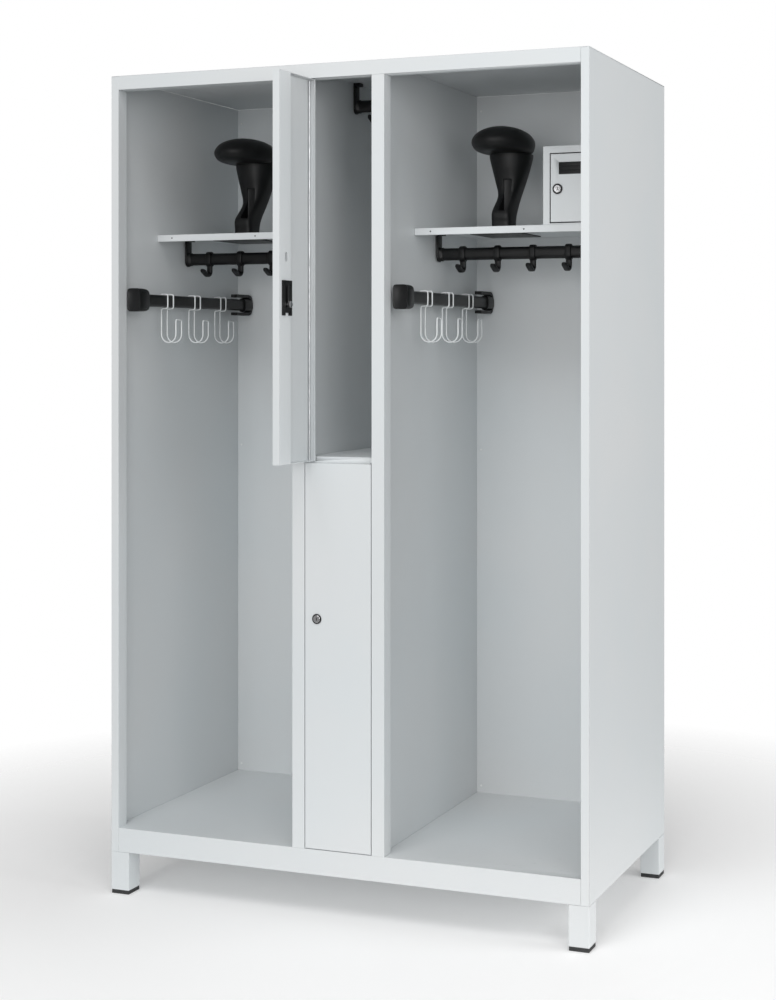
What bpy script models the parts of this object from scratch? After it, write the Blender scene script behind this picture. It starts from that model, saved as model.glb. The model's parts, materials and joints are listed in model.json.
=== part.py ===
"""A fire-service wardrobe locker with three bays, its doors, rails, hooks and helmet stands.

The locker is drawn in its own coordinates: x from the left side, y back from the front
plane, z up from the floor. An empty carries everything to the part's origin, the middle
of the floor under the locker and its open door.
"""
import math

import bmesh
import bpy
from mathutils import Matrix, Vector

# Driving dimensions of the carcass, in metres
WIDTH = 1.200
DEPTH = 0.600
HEIGHT = 1.950
LEG = 0.100
SIDE_BAY = 0.500
SHEET = 0.0015
SIDE_STILE = 0.0195
POST = 0.031
FRAME_RETURN = 0.035
FRAME_LIP = 0.008
TOP_RAIL = 0.033
BOTTOM_RAIL = 0.057
GAP = 0.0003
WELD = 0.0002

# Doors of the middle bay
DOOR_SHEET = 0.0012
DOOR_THICK = 0.017
DOOR_GAP = 0.002
DOOR_SPLIT = 1.0405
SPLIT_GAP = 0.004
LOCK_CHANNEL = 0.050
HINGE_IN = 0.008
HINGE_BACK = 0.005
HINGE_R = 0.002
OPEN_DEG = 91.5
LOCK_IN = 0.030
LOCK_FROM_SPLIT = 0.357
NOSE_TALL = 0.024
NOSE_CLEAR = 0.004
PIN_TAB = (0.010, 0.0015)

# Locks
CORE_R = 0.007
BARREL_R = 0.0095
ROSETTE_R = 0.0115
ROSETTE_T = 0.002
LOCK_PLATE = (0.040, 0.0035, 0.078)
CAM_LENGTH = 0.040
CAM_WIDE = 0.012
CAM_T = 0.002
CAM_BEHIND_PLATE = 0.003
SLOT_BELOW = 0.009
SLOT_ABOVE = 0.030
NUT = (0.0085, 0.004)
PULL_SLOT = (0.010, 0.021)
PULL_SLOT_UP = 0.1055
PLATE_DOWN = 0.32
PLATE_NOTCH = (0.018, 0.0062)
KEY_SLOT = (0.0022, 0.0016, 0.0085)

# Hat shelves
SHELF_TOP = 1.5835
SHELF_EDGE = 0.0165
SHELF_SET_BACK = 0.200
SHELF_HOLE_R = 0.002
SHELF_HOLES = (0.042, 0.276)

# Coat rails under the shelves and under the roof
TUBE_TALL = 0.030
TUBE_THICK = 0.015
TUBE_WALL = 0.0015
SHELF_RAIL_Y = 0.335
SHELF_RAIL_DROP = 0.0536
ROOF_RAIL_Y = 0.290
ROOF_RAIL_DROP = 0.0575
HANGER = 0.0045
HANGER_OFF = 0.0035
COLLAR = (0.008, 0.0015)
HANGER_DEEP = 0.024
HANGER_PAD = (0.010, 0.008)
RUN = 0.0006
HOOK_WIDE = 0.0145
HOOK_BAND = 0.004
HOOK_ARM = 0.006
ARM_IN = 0.002
HOOK_DROP = 0.025
HOOK_BEND = 0.011
HOOK_REACH = 0.040
HOOK_RISE = 0.0145
HOOK_PITCH = 0.090
HOOK_FIRST = 0.070
HOOKS_PER_SHELF = 4
ROOF_HOOK_X = 0.060

# Side rails with wire hooks
SIDE_RAIL_Z = 1.417
SIDE_RAIL_X = 0.038
SIDE_RAIL_START = 0.050
SIDE_RAIL_END = 0.570
GRIP_TALL = 0.056
GRIP_LENGTH = 0.052
GRIP_WIDE = 0.036
GRIP_FRONT = 0.0365
CLAW_REACH = 0.085
CLAW_TALL = 0.056
CLAW_T = 0.008
CLAW_WIDE = 0.018
WIRE_R = 0.0017
WIRE_SPREAD = 0.026
WIRE_DROP = 0.0845
WIRE_MOUTH = 0.041
WIRE_TIP = 0.056
WIRE_FIRST = 0.185
WIRE_PITCH = 0.128
WIRES_PER_RAIL = 3

# Helmet stands
STAND_X = 0.170
STAND_Y = 0.350
STAND_TALL = 0.2495
STAND_FOOT = (0.092, 0.110, 0.003)
BACKING = (0.128, 0.146, 0.003)
BACKING_BACK = 0.012
BACKING_DROP = 0.007

# Small lockable box
BOX_WIDE = 0.176
BOX_TALL = 0.180
BOX_DEEP = 0.300
BOX_SHEET = 0.0012
BOX_FRAME = 0.016
BOX_SILL = 0.003
BOX_SET_BACK = 0.003
BOX_DOOR_T = 0.012
BOX_DOOR_GAP = 0.0025
BOX_PIN_IN = 0.006
BOX_PIN_BACK = 0.0045
BOX_PIN_R = 0.0015
BOX_LUG_IN = 0.006
BOX_LUG_T = 0.001
BOX_LUG_BACK = 0.004
BOX_SLOT = (0.100, 0.028)
BOX_SLOT_DOWN = 0.019
BOX_LOCK_IN = 0.034
BOX_LOCK_DOWN = 0.080
BOX_BOLT = 0.024

# Feet
FOOT = 0.048
FOOT_WALL = 0.002
GLIDE_TALL = 0.009
GLIDE_INSET = 0.001
GLIDE_PLUG = 0.022

# Air slots in the roof
AIR_SLOT = (0.0085, 0.0022)
AIR_PITCH = 0.0125
AIR_ROWS = (0.572, 0.588)
AIR_COUNT = 19

# Places that follow from the driving dimensions
FLOOR_Z = LEG + BOTTOM_RAIL
HEAD_Z = HEIGHT - TOP_RAIL
LEFT_WALL = SIDE_BAY
RIGHT_WALL = WIDTH - SIDE_BAY
ROOF_UNDER = HEIGHT - SHEET
BACK_IN = DEPTH - SHEET
DOOR_LEFT = LEFT_WALL + POST / 2 + DOOR_GAP
DOOR_RIGHT = RIGHT_WALL - POST / 2 - DOOR_GAP
DOOR_WIDE = DOOR_RIGHT - DOOR_LEFT
DOOR_REACH = DOOR_WIDE - HINGE_IN
OPEN = math.radians(OPEN_DEG)
DOOR_FRONT = HINGE_BACK - DOOR_REACH * math.sin(OPEN) - HINGE_BACK * abs(math.cos(OPEN))
ORIGIN = Vector((-WIDTH / 2, -(DEPTH + DOOR_FRONT) / 2, 0))
LOCK_Z = {"upper": DOOR_SPLIT + LOCK_FROM_SPLIT, "lower": DOOR_SPLIT - LOCK_FROM_SPLIT}
BAYS = {"left": 0.0, "right": RIGHT_WALL}

STEEL = ("light_grey_steel", (0.66, 0.69, 0.70), 0.45, 0.0)
BLACK = ("black_plastic", (0.018, 0.019, 0.020), 0.45, 0.0)
CHROME = ("chrome", (0.72, 0.72, 0.73), 0.18, 1.0)
WIRE = ("white_coated_wire", (0.70, 0.73, 0.73), 0.35, 0.0)
RUBBER = ("black_rubber", (0.02, 0.02, 0.022), 0.8, 0.0)
ZINC = ("zinc_plated_steel", (0.55, 0.56, 0.57), 0.35, 1.0)


def clear_scene():
    for thing in list(bpy.data.objects):
        bpy.data.objects.remove(thing, do_unlink=True)


def material(finish):
    name, colour, roughness, metallic = finish
    found = bpy.data.materials.get(name)
    if found:
        return found
    made = bpy.data.materials.new(name)
    made.use_nodes = True
    shader = made.node_tree.nodes["Principled BSDF"]
    shader.inputs["Base Color"].default_value = (*colour, 1)
    shader.inputs["Roughness"].default_value = roughness
    shader.inputs["Metallic"].default_value = metallic
    return made


def mesh_object(name, shape):
    bmesh.ops.recalc_face_normals(shape, faces=shape.faces)
    mesh = bpy.data.meshes.new(name)
    shape.to_mesh(mesh)
    shape.free()
    thing = bpy.data.objects.new(name, mesh)
    bpy.context.scene.collection.objects.link(thing)
    return thing


def box(low, high):
    """A plain block between two corners."""
    shape = bmesh.new()
    bmesh.ops.create_cube(shape, size=1)
    low, high = Vector(low), Vector(high)
    size = high - low
    move = Matrix.Translation((low + high) / 2) @ Matrix.Diagonal((*size, 1))
    shape.transform(move)
    return mesh_object("block", shape)


def turned(axis, across, depth):
    """A point of an outline: its two flat coordinates and its depth along the axis."""
    a, b = across
    return {"x": (depth, a, b), "y": (a, depth, b), "z": (a, b, depth)}[axis]


def extrusion(outline, axis, start, end, hole=None):
    """A flat outline pushed along x, y or z, with an inner outline of as many points or none."""
    shape = bmesh.new()
    rings = []
    for loop in [outline] + ([hole] if hole else []):
        for depth in (start, end):
            rings.append([shape.verts.new(turned(axis, point, depth)) for point in loop])
    count = len(outline)
    for low, high in zip(rings[::2], rings[1::2]):
        for i in range(count):
            j = (i + 1) % count
            shape.faces.new((low[i], low[j], high[j], high[i]))
    if hole:
        for outer, inner in ((rings[0], rings[2]), (rings[1], rings[3])):
            for i in range(count):
                j = (i + 1) % count
                shape.faces.new((outer[i], outer[j], inner[j], inner[i]))
    else:
        shape.faces.new(rings[0])
        shape.faces.new(rings[1])
    return mesh_object("extrusion", shape)


def thickened(path, thick):
    """The outline of a bent strip: a path with half the thickness on both sides, mitred."""
    left, right = [], []
    points = [Vector(point) for point in path]
    for i, point in enumerate(points):
        before = (point - points[i - 1]).normalized() if i else None
        after = (points[i + 1] - point).normalized() if i + 1 < len(points) else None
        one, two = before or after, after or before
        normal = Vector((-one.y - two.y, one.x + two.x)).normalized()
        reach = thick / 2 / normal.dot(Vector((-two.y, two.x)))
        left.append(point + normal * reach)
        right.append(point - normal * reach)
    return left + right[::-1]


def bent_sheet(path, axis, start, end, thick=SHEET):
    return extrusion(thickened(path, thick), axis, start, end)


def arc(centre, radius, start, end, steps):
    """Points on a circle, its two angles in degrees."""
    angles = [math.radians(start + (end - start) * i / steps) for i in range(steps + 1)]
    return [(centre[0] + radius * math.cos(a), centre[1] + radius * math.sin(a)) for a in angles]


def stadium(centre, wide, tall, steps=6):
    """A flat oval: upright straight sides with half-round ends."""
    radius = wide / 2
    rise = tall / 2 - radius
    top = arc((centre[0], centre[1] + rise), radius, 0, 180, steps)
    return top + arc((centre[0], centre[1] - rise), radius, 180, 360, steps)


def cylinder(centre, radius, axis, start, end, sides=20):
    outline = arc(centre, radius, 0, 360, sides)[:-1]
    return extrusion(outline, axis, start, end)


def combined(name, first, joined=(), cut=()):
    """One closed mesh: the first shape with others joined on and others cut away."""
    for thing, operation in [(j, "UNION") for j in joined] + [(c, "DIFFERENCE") for c in cut]:
        change = first.modifiers.new(operation, "BOOLEAN")
        change.operation = operation
        change.object = thing
    bpy.context.view_layer.update()
    seen = first.evaluated_get(bpy.context.evaluated_depsgraph_get())
    mesh = bpy.data.meshes.new_from_object(seen)
    mesh.name = name
    made = bpy.data.objects.new(name, mesh)
    for thing in (first, *joined, *cut):
        bpy.data.objects.remove(thing, do_unlink=True)
    bpy.context.scene.collection.objects.link(made)
    return made


def named(name, thing, finish, parent, origin=(0, 0, 0), round_angle=None):
    """Name a shape, give it its finish and its parent, and move its origin to its axis."""
    thing.name = name
    thing.data.name = name
    thing.data.materials.clear()
    thing.data.materials.append(material(finish))
    origin = Vector(origin)
    thing.data.transform(Matrix.Translation(-origin))
    thing.location = origin
    thing.parent = parent
    if round_angle:
        thing.data.shade_smooth()
        thing.data.set_sharp_from_angle(angle=math.radians(round_angle))
    return thing


def empty(name, place, parent=None, turn=0.0):
    thing = bpy.data.objects.new(name, None)
    bpy.context.scene.collection.objects.link(thing)
    thing.location = place
    thing.rotation_euler = (0, 0, turn)
    thing.parent = parent
    return thing


# ---------------------------------------------------------------- carcass

def side_panels(locker):
    half = SHEET / 2
    path = [
        (half, DEPTH), (half, half), (SIDE_STILE - half, half),
        (SIDE_STILE - half, FRAME_RETURN - half), (SIDE_STILE - FRAME_LIP, FRAME_RETURN - half),
    ]
    low, high = LEG, ROOF_UNDER - GAP
    named("left_side_panel", bent_sheet(path, "z", low, high), STEEL, locker)
    mirrored = [(WIDTH - x, y) for x, y in path]
    named("right_side_panel", bent_sheet(mirrored, "z", low, high), STEEL, locker)


def air_slots(bay):
    """Cutters for the rows of air slots in the roof of one side bay."""
    first = bay + SIDE_BAY / 2 - AIR_PITCH * (AIR_COUNT - 1) / 2
    for row in AIR_ROWS:
        for i in range(AIR_COUNT):
            x = first + i * AIR_PITCH
            low = (x - AIR_SLOT[0] / 2, row - AIR_SLOT[1] / 2, ROOF_UNDER - SHEET)
            high = (x + AIR_SLOT[0] / 2, row + AIR_SLOT[1] / 2, HEIGHT + SHEET)
            yield box(low, high)


def hinge_place(which):
    """Where the pin line of one middle door is, from the left side and the front."""
    return (DOOR_LEFT + HINGE_IN if which == "upper" else DOOR_RIGHT - HINGE_IN, HINGE_BACK)


def roof(locker):
    half = SHEET / 2
    start, end = SIDE_STILE + GAP, WIDTH - SIDE_STILE - GAP
    fascia = bent_sheet(
        [(half, ROOF_UNDER + half), (half, HEAD_Z + half),
         (FRAME_RETURN - half, HEAD_Z + half), (FRAME_RETURN - half, HEAD_Z + FRAME_LIP)],
        "x", start, end)
    plate = box((0, 0, ROOF_UNDER), (WIDTH, DEPTH, HEIGHT))
    hole = cylinder(hinge_place("upper"), HINGE_R + GAP, "z", HEAD_Z - SHEET, HEAD_Z + 2 * SHEET)
    cuts = [hole]
    for bay in BAYS.values():
        cuts += air_slots(bay)
    named("roof", combined("roof", plate, [fascia], cuts), STEEL, locker)


def floor(locker):
    half = SHEET / 2
    start, end = SIDE_STILE + GAP, WIDTH - SIDE_STILE - GAP
    overlap = 0.004
    apron = bent_sheet(
        [(FRAME_RETURN + overlap, FLOOR_Z - half), (half, FLOOR_Z - half), (half, LEG + half),
         (FRAME_RETURN - half, LEG + half), (FRAME_RETURN - half, LEG + FRAME_LIP)],
        "x", start, end)
    plate = box((SHEET + GAP, FRAME_RETURN + GAP, FLOOR_Z - SHEET),
                (WIDTH - SHEET - GAP, BACK_IN - GAP, FLOOR_Z))
    hole = cylinder(hinge_place("lower"), HINGE_R + GAP, "z", FLOOR_Z - 2 * SHEET, FLOOR_Z + SHEET)
    named("floor", combined("floor", plate, [apron], [hole]), STEEL, locker)


def back_panel(locker):
    low = (SHEET + GAP, BACK_IN, LEG)
    high = (WIDTH - SHEET - GAP, DEPTH, ROOF_UNDER - GAP)
    named("back_panel", box(low, high), STEEL, locker)


def divider(name, wall, bolt_z, towards, locker):
    """A partition sheet with its boxed front post, and the slot that the door's bolt enters."""
    half = SHEET / 2
    edge = POST / 2 - half
    back = FRAME_RETURN - half
    sheet_end = BACK_IN - GAP
    path = [
        (wall, FRAME_RETURN + FRAME_LIP), (wall, back), (wall - edge, back), (wall - edge, half),
        (wall + edge, half), (wall + edge, back), (wall + POST / 4, back),
    ]
    post = bent_sheet(path, "z", FLOOR_Z + GAP, HEAD_Z - GAP)
    sheet = box((wall - half, FRAME_RETURN + GAP, FLOOR_Z + GAP),
                (wall + half, sheet_end, ROOF_UNDER - GAP))
    face = wall + towards * edge
    bolt_y = cam_back()
    slot = box((face - SHEET, bolt_y - CAM_T, bolt_z - SLOT_BELOW),
               (face + SHEET, bolt_y + 2 * CAM_T, bolt_z + SLOT_ABOVE))
    named(name, combined(name, sheet, [post], [slot]), STEEL, locker)


def middle_shelf(locker):
    """The shelf between the two small compartments, its front lip, and the tabs the pins pass."""
    half = SHEET / 2
    lip_y = DOOR_THICK + NOSE_CLEAR
    start, end = LEFT_WALL + half + GAP, RIGHT_WALL - half - GAP
    front = FRAME_RETURN + GAP
    inner_start = LEFT_WALL + POST / 2 + GAP
    inner_end = RIGHT_WALL - POST / 2 - GAP
    top = DOOR_SPLIT + NOSE_TALL / 2
    low = DOOR_SPLIT - NOSE_TALL / 2
    plate = box((start, front, top - SHEET), (end, BACK_IN - GAP, top))
    nose = bent_sheet(
        [(front + NOSE_CLEAR, top - half), (lip_y + half, top - half),
         (lip_y + half, low), (front - NOSE_CLEAR, low)],
        "x", inner_start, inner_end)
    tabs, holes = [], []
    for which in ("upper", "lower"):
        x, y = hinge_place(which)
        tabs.append(box((x - PIN_TAB[0] / 2, y - NOSE_CLEAR, DOOR_SPLIT - PIN_TAB[1] / 2),
                        (x + PIN_TAB[0] / 2, lip_y + half, DOOR_SPLIT + PIN_TAB[1] / 2)))
        holes.append(cylinder((x, y), HINGE_R + GAP, "z", DOOR_SPLIT - SHEET, DOOR_SPLIT + SHEET))
    named("middle_shelf", combined("middle_shelf", plate, [nose, *tabs], holes), STEEL, locker)


# ---------------------------------------------------------------- middle doors and locks

def door_span(which):
    """The lowest and highest point of one middle door."""
    if which == "upper":
        return DOOR_SPLIT + SPLIT_GAP / 2, HEAD_Z - DOOR_GAP
    return FLOOR_Z + DOOR_GAP, DOOR_SPLIT - SPLIT_GAP / 2


def cam_back():
    """How far the front of a bolt lies behind the front plane."""
    return DOOR_THICK + LOCK_PLATE[1] + CAM_BEHIND_PLATE


def hinge_rods(locker):
    for which in ("upper", "lower"):
        place = hinge_place(which)
        if which == "upper":
            low, high = DOOR_SPLIT - 0.0009, HEAD_Z + 0.006
        else:
            low, high = FLOOR_Z - 0.006, DOOR_SPLIT + 0.0009
        rod = cylinder(place, HINGE_R, "z", low, high, 16)
        named(which + "_hinge_rod", rod, ZINC, locker, (*place, low), 40)


def door(which, hinge, side):
    """A tray door: skin, four returns and a deep channel behind the lock."""
    low, high = door_span(which)
    half = DOOR_SHEET / 2
    back = DOOR_THICK - half
    hinge_edge = -HINGE_IN
    lock_edge = DOOR_REACH
    path = [
        (lock_edge - LOCK_CHANNEL, back), (lock_edge - half, back), (lock_edge - half, half),
        (hinge_edge + half, half), (hinge_edge + half, back), (hinge_edge + 0.006, back),
    ]
    path = [(side * x, y - HINGE_BACK) for x, y in path]
    tray = bent_sheet(path, "z", low, high, DOOR_SHEET)
    ends = []
    near, far = sorted((side * hinge_edge, side * lock_edge))
    for z in (low + WELD, high - DOOR_SHEET - WELD):
        ends.append(box((near + half, half - HINGE_BACK, z),
                        (far - half, DOOR_THICK - HINGE_BACK - WELD, z + DOOR_SHEET)))
    lock_at = (side * (DOOR_REACH - LOCK_IN), LOCK_Z[which])
    barrel = cylinder(lock_at, BARREL_R + GAP, "y", -0.02, 0.03)
    rod = cylinder((0, 0), HINGE_R + GAP, "z", low - 0.01, high + 0.01, 16)
    slot_z = lock_at[1] + PULL_SLOT_UP
    ring = stadium((lock_at[0], slot_z), *PULL_SLOT)
    slot = extrusion(ring, "y", back - HINGE_BACK - DOOR_SHEET, back - HINGE_BACK + DOOR_SHEET)
    name = which + "_door"
    named(name, combined(name, tray, ends, [barrel, rod, slot]), STEEL, hinge)


def lock(which, hinge, side):
    """A cylinder lock: black case with its rosette, and the core that turns with its bolt."""
    x, z = side * (DOOR_REACH - LOCK_IN), LOCK_Z[which]
    front = -HINGE_BACK - GAP
    plate_front = DOOR_THICK - HINGE_BACK + GAP
    plate_back = plate_front + LOCK_PLATE[1]
    wide, tall = LOCK_PLATE[0] / 2, LOCK_PLATE[2]
    plate_low = z - tall * PLATE_DOWN
    plate = box((x - wide, plate_front, plate_low), (x + wide, plate_back, plate_low + tall))
    notch = box((x - PLATE_NOTCH[0] / 2, plate_front - SHEET, plate_low - SHEET),
                (x + PLATE_NOTCH[0] / 2, plate_back + SHEET, plate_low + PLATE_NOTCH[1]))
    barrel = cylinder((x, z), BARREL_R, "y", front - ROSETTE_T / 2, plate_front + SHEET)
    rosette = cylinder((x, z), ROSETTE_R, "y", front - ROSETTE_T, front, 28)
    bore = cylinder((x, z), CORE_R + GAP, "y", front - 2 * ROSETTE_T, plate_back + SHEET, 24)
    case = combined("case", plate, [barrel, rosette], [notch, bore])
    named(which + "_lock_case", case, BLACK, hinge, round_angle=35)
    end = cam_back() - HINGE_BACK
    core = cylinder((x, z), CORE_R, "y", front - ROSETTE_T * 0.8, end + CAM_T / 2, 24)
    cam = box((x - CAM_WIDE / 2, end, z - CORE_R), (x + CAM_WIDE / 2, end + CAM_T, z + CAM_LENGTH))
    nut = cylinder((x, z), NUT[0], "y", end + WELD, end + CAM_T + NUT[1], 6)
    slot = box((x - KEY_SLOT[0] / 2, front - 2 * ROSETTE_T, z - KEY_SLOT[2] / 2),
               (x + KEY_SLOT[0] / 2, front + KEY_SLOT[1], z + KEY_SLOT[2] / 2))
    turning = combined("core", core, [cam, nut], [slot])
    named(which + "_lock_core", turning, CHROME, hinge, (x, 0, z), 35)


def middle_doors(locker):
    for which, side, turn in (("upper", 1, -OPEN), ("lower", -1, 0.0)):
        hinge = empty(which + "_door_axis", (*hinge_place(which), 0), locker, turn)
        door(which, hinge, side)
        lock(which, hinge, side)


# ---------------------------------------------------------------- shelves and coat rails

def hat_shelf(side, bay, locker):
    half = SHEET / 2
    top = SHELF_TOP
    low_x, high_x = bay + SHEET + GAP, bay + SIDE_BAY - SHEET - GAP
    path = [
        (BACK_IN - GAP, top - half), (SHELF_SET_BACK + half, top - half),
        (SHELF_SET_BACK + half, top - SHELF_EDGE + half),
        (SHELF_SET_BACK + FRAME_LIP, top - SHELF_EDGE + half),
    ]
    sheet = bent_sheet(path, "x", low_x, high_x)
    holes = []
    for x in SHELF_HOLES:
        place = (bay + x, top - SHELF_EDGE / 2)
        holes.append(cylinder(place, SHELF_HOLE_R, "y", SHELF_SET_BACK - SHEET,
                              SHELF_SET_BACK + 2 * SHEET, 12))
    name = side + "_hat_shelf"
    named(name, combined(name, sheet, [], holes), STEEL, locker)


def coat_rail(name, low_x, high_x, y, hung_from, drop, locker):
    """A flat oval bar across a bay with a moulded hanger at each end."""
    z = hung_from - drop
    low_x, high_x = low_x + HANGER_OFF, high_x - HANGER_OFF
    ring = stadium((y, z), TUBE_THICK, TUBE_TALL)
    tube = extrusion(ring, "x", low_x + HANGER / 2, high_x - HANGER / 2)
    collar_ring = stadium((y, z), TUBE_THICK + 2 * COLLAR[1], TUBE_TALL + 2 * COLLAR[1])
    hangers = []
    top = hung_from - GAP
    deep = HANGER_DEEP / 2
    for start, inward in ((low_x, 1), (high_x, -1)):
        end = start + inward * HANGER
        outline = [(y - deep, top), *arc((y, z - TUBE_TALL / 2 + deep * 0.7), deep, 180, 360, 8),
                   (y + deep, top)]
        hangers.append(extrusion(outline, "x", min(start, end), max(start, end)))
        collar = end + inward * COLLAR[0]
        hangers.append(extrusion(collar_ring, "x", min(end, collar) - SHEET, max(end, collar) + SHEET))
        pad = end + inward * HANGER_PAD[0]
        hangers.append(box((min(end, pad) - SHEET, y - deep * 0.8, top - HANGER_PAD[1]),
                           (max(end, pad) + SHEET, y + deep * 0.8, top)))
    rail = combined(name, tube, hangers)
    named(name, rail, BLACK, locker, round_angle=35)
    return z


def coat_hook(name, x, y, z, locker):
    """A moulded hook whose band slides on the flat oval tube."""
    inner = stadium((y, z), TUBE_THICK + 2 * RUN, TUBE_TALL + 2 * RUN)
    outer = stadium((y, z), TUBE_THICK + 2 * RUN + 2 * HOOK_BAND, TUBE_TALL + 2 * RUN + 2 * HOOK_BAND)
    start, end = x - HOOK_WIDE / 2, x + HOOK_WIDE / 2
    band = extrusion(outer, "x", start, end, inner)
    under = z - TUBE_TALL / 2 - RUN - HOOK_BAND / 2
    low = under - HOOK_DROP
    path = [(y, under), (y, low + HOOK_BEND)]
    path += arc((y - HOOK_BEND, low + HOOK_BEND), HOOK_BEND, 0, -115, 8)[1:]
    path.append((y - HOOK_REACH, low + HOOK_RISE))
    arm = bent_sheet(path, "x", start + ARM_IN, end - ARM_IN, HOOK_ARM)
    named(name, combined(name, band, [arm]), BLACK, locker, (x, y, z), 35)


def shelves_and_rails(locker):
    for side, bay in BAYS.items():
        hat_shelf(side, bay, locker)
        low_x, high_x = bay + SHEET + GAP, bay + SIDE_BAY - SHEET - GAP
        z = coat_rail(side + "_shelf_rail", low_x, high_x, SHELF_RAIL_Y,
                      SHELF_TOP - SHEET, SHELF_RAIL_DROP, locker)
        for i in range(HOOKS_PER_SHELF):
            x = bay + HOOK_FIRST + i * HOOK_PITCH
            coat_hook(f"{side}_coat_hook_{i + 1}", x, SHELF_RAIL_Y, z, locker)
    low_x, high_x = LEFT_WALL + SHEET / 2 + GAP, RIGHT_WALL - SHEET / 2 - GAP
    z = coat_rail("middle_rail", low_x, high_x, ROOF_RAIL_Y, ROOF_UNDER, ROOF_RAIL_DROP, locker)
    coat_hook("middle_coat_hook", LEFT_WALL + ROOF_HOOK_X, ROOF_RAIL_Y, z, locker)


# ---------------------------------------------------------------- side rails and wire hooks

def side_rail(side, bay, locker):
    x = bay + SIDE_RAIL_X
    z = SIDE_RAIL_Z
    ring = stadium((x, z), TUBE_THICK, TUBE_TALL)
    bore = stadium((x, z), TUBE_THICK - 2 * TUBE_WALL, TUBE_TALL - 2 * TUBE_WALL)
    tube = extrusion(ring, "y", SIDE_RAIL_START, SIDE_RAIL_END, bore)
    named(side + "_side_rail", tube, BLACK, locker, round_angle=35)


def loft(rings):
    """A closed skin through rings of as many points each."""
    shape = bmesh.new()
    loops = [[shape.verts.new(point) for point in ring] for ring in rings]
    count = len(loops[0])
    for low, high in zip(loops, loops[1:]):
        for i in range(count):
            j = (i + 1) % count
            shape.faces.new((low[i], low[j], high[j], high[i]))
    shape.faces.new(loops[0])
    shape.faces.new(loops[-1])
    return mesh_object("loft", shape)


def front_grip(side, bay, locker):
    """The blunt end piece that holds the front of a side rail behind the post's return."""
    x, z = bay + SIDE_RAIL_X, SIDE_RAIL_Z
    slim = TUBE_THICK + 2 * HOOK_BAND
    neck = TUBE_TALL + 2 * HOOK_BAND
    rings = []
    for share, full in ((0, 1.0), (0.35, 0.99), (0.62, 0.90), (0.80, 0.70), (0.92, 0.36), (1.0, 0.0)):
        y = GRIP_FRONT + GRIP_LENGTH * share
        height = neck + (GRIP_TALL - neck) * full
        width = slim + (GRIP_WIDE - slim) * full
        rings.append([(px, y, pz) for px, pz in stadium((x, z), width, height)])
    grip = loft(rings)
    rail_hole = stadium((x, z), TUBE_THICK + 2 * GAP, TUBE_TALL + 2 * GAP)
    hole = extrusion(rail_hole, "y", SIDE_RAIL_START - GAP, GRIP_FRONT + GRIP_LENGTH + GRIP_WIDE)
    name = side + "_rail_grip"
    named(name, combined(name, grip, [], [hole]), BLACK, locker, round_angle=50)


def rear_claw(side, bay, locker):
    """The forked wall bracket that carries the back of a side rail."""
    x, z = bay + SIDE_RAIL_X, SIDE_RAIL_Z
    back = BACK_IN - GAP
    reach = back - CLAW_REACH
    bend = 0.018
    edge = CLAW_TALL / 2 - CLAW_T / 2
    spine = back - CLAW_T / 2
    path = [(reach, z + edge), (spine - bend, z + edge)]
    path += arc((spine - bend, z + edge - bend), bend, 90, 0, 5)[1:]
    path += arc((spine - bend, z - edge + bend), bend, 0, -90, 5)
    path.append((reach, z - edge))
    fork = bent_sheet(path, "x", x - CLAW_WIDE / 2, x + CLAW_WIDE / 2, CLAW_T)
    cup_out = stadium((x, z), TUBE_THICK + 2 * HOOK_BAND, TUBE_TALL + 2 * HOOK_BAND)
    cup = extrusion(cup_out, "y", SIDE_RAIL_END - 0.014, back - CLAW_T / 2)
    socket = stadium((x, z), TUBE_THICK + 2 * GAP, TUBE_TALL + 2 * GAP)
    hole = extrusion(socket, "y", SIDE_RAIL_END - 0.03, SIDE_RAIL_END + GAP)
    name = side + "_rail_claw"
    named(name, combined(name, fork, [cup], [hole]), BLACK, locker, round_angle=35)


def rounded_path(points, radius, steps=3):
    """A closed path with its corners turned into short arcs."""
    points = [Vector(point) for point in points]
    made = []
    count = len(points)
    for i, point in enumerate(points):
        to_before = points[i - 1] - point
        to_after = points[(i + 1) % count] - point
        cut = min(radius, to_before.length * 0.45, to_after.length * 0.45)
        start = point + to_before.normalized() * cut
        end = point + to_after.normalized() * cut
        for j in range(steps + 1):
            t = j / steps
            made.append(start * (1 - t) ** 2 + point * 2 * t * (1 - t) + end * t ** 2)
    return made


def closed_wire(path, radius, sides=6):
    """A wire bent into one closed loop, its cross-section carried along without twist."""
    shape = bmesh.new()
    count = len(path)
    rings = []
    up = Vector((0, 1, 0))
    for i, point in enumerate(path):
        along = (path[(i + 1) % count] - path[i - 1]).normalized()
        side = along.cross(up)
        if side.length < 0.3:
            side = along.cross(Vector((1, 0, 0)) if abs(along.x) < 0.7 else Vector((0, 0, 1)))
        side.normalize()
        over = side.cross(along)
        ring = []
        for k in range(sides):
            angle = 2 * math.pi * k / sides
            ring.append(shape.verts.new(point + radius * (side * math.cos(angle) + over * math.sin(angle))))
        rings.append(ring)
    for i, ring in enumerate(rings):
        after = rings[(i + 1) % count]
        nearest = min(range(sides), key=lambda k: (after[k].co - ring[0].co).length)
        for k in range(sides):
            m = (k + 1) % sides
            shape.faces.new((ring[k], ring[m], after[(m + nearest) % sides], after[(k + nearest) % sides]))
    return mesh_object("wire", shape)


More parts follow.
